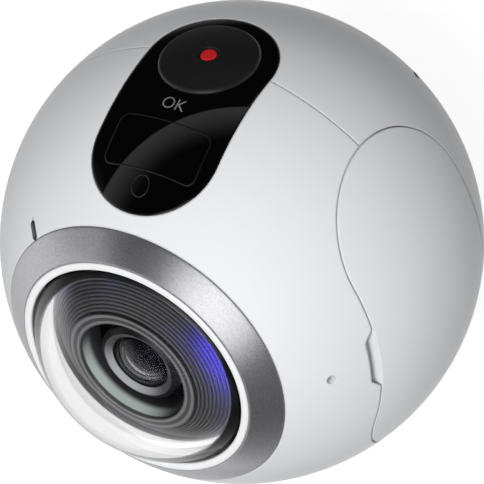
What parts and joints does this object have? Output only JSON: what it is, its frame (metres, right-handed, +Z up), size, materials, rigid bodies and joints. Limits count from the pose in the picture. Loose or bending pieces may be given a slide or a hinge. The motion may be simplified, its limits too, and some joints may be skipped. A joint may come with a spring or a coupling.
{
  "type": "360 degree camera",
  "caption": "Ball-shaped camera with a fisheye lens on its front and back, a black top window with a record key, and a hinged side cover over its battery.",
  "frame": {"origin": "middle of the flat base, in the plane that the camera stands on", "axes": "+Z up through the record key; the front lens, on the window's side, looks along -Y and the rear lens along +Y; the side cover is on +X and the menu and power keys on -X"},
  "size_m": [0.06, 0.0666, 0.0562],
  "materials": {
    "white_shell": "satin gloss, moulded",
    "lens_band": "fine grained metallic grey",
    "white_trim": "glossy white",
    "lens_glass": "polished, with a blue-violet coating",
    "lens_black": "matt black",
    "barrel_black": "black anodised",
    "circuit_board": "dark green solder mask",
    "image_chip": "chip under cover glass",
    "light_guide": "smoked clear plastic",
    "red_guide": "clear red",
    "screw_steel": "plain steel",
    "window_black": "polished black",
    "key_black": "finely grained black",
    "key_grey": "satin white",
    "switch_metal": "plain sheet metal",
    "display_glass": "dark display",
    "holder_plastic": "dark grey, moulded",
    "battery_case": "black wrapped cell",
    "contact_gold": "gold plated",
    "base_plastic": "grey, moulded",
    "socket_metal": "machined",
    "seal_rubber": "soft black"
  },
  "bodies": {
    "camera_body": {"base_plate": "base_plastic", "battery": "battery_case", "battery_bay": "holder_plastic", "battery_contacts": "contact_gold", "card_socket": "switch_metal", "display_module": "display_glass", "front_aperture_stop": "lens_black", "front_image_sensor": "image_chip", "front_inner_lens_group": "lens_glass", "front_lens_barrel": "barrel_black", "front_lens_bezel": "lens_band", "front_lens_dome": "lens_glass", "front_lens_housing": "lens_black", "front_ribbed_baffle": "lens_black", "front_second_lens": "lens_glass", "front_sensor_board": "circuit_board", "front_shell": "white_shell", "front_status_light_pipe": "light_guide", "front_trim_ring": "white_trim", "hinge_bracket": "holder_plastic", "hinge_pin": "screw_steel", "inner_frame": "holder_plastic", "key_and_display_holder": "holder_plastic", "lens_screws": "screw_steel", "main_board": "circuit_board", "microphones": "switch_metal", "port_boards": "circuit_board", "processor_shield": "switch_metal", "rear_aperture_stop": "lens_black", "rear_image_sensor": "image_chip", "rear_inner_lens_group": "lens_glass", "rear_lens_barrel": "barrel_black", "rear_lens_bezel": "lens_band", "rear_lens_dome": "lens_glass", "rear_lens_housing": "lens_black", "rear_ribbed_baffle": "lens_black", "rear_second_lens": "lens_glass", "rear_sensor_board": "circuit_board", "rear_shell": "white_shell", "rear_status_light_pipe": "light_guide", "rear_trim_ring": "white_trim", "record_key_board": "circuit_board", "record_key_switch": "switch_metal", "side_key_boards": "circuit_board", "side_key_holder": "holder_plastic", "side_key_switches": "switch_metal", "speaker": "holder_plastic", "top_window": "window_black", "tripod_socket": "socket_metal", "usb_socket": "switch_metal"},
    "record_key": {"record_key": "key_black", "record_dot": "red_guide"},
    "menu_key": {"menu_key": "key_grey"},
    "power_key": {"power_key": "key_grey"},
    "side_cover": {"side_cover": "white_shell", "side_cover_seal": "seal_rubber"}
  },
  "joints": [
    {"name": "record_key_press", "type": "slide", "parent": "camera_body", "child": "record_key", "axis": [0, 0, -1], "range_m": [0, 0.0004], "stiffness_N_per_m": 3000},
    {"name": "menu_key_press", "type": "slide", "parent": "camera_body", "child": "menu_key", "axis": [0.9724, 0.2334, 0], "range_m": [0, 0.00035], "stiffness_N_per_m": 3000},
    {"name": "power_key_press", "type": "slide", "parent": "camera_body", "child": "power_key", "axis": [0.9724, -0.2334, 0], "range_m": [0, 0.00035], "stiffness_N_per_m": 3000},
    {"name": "side_cover_swing", "type": "hinge", "parent": "camera_body", "child": "side_cover", "pos_m": [0.02521, 0.0134, 0.02587], "axis": [0, 0, 1], "range_deg": [0, 90]}
  ]
}
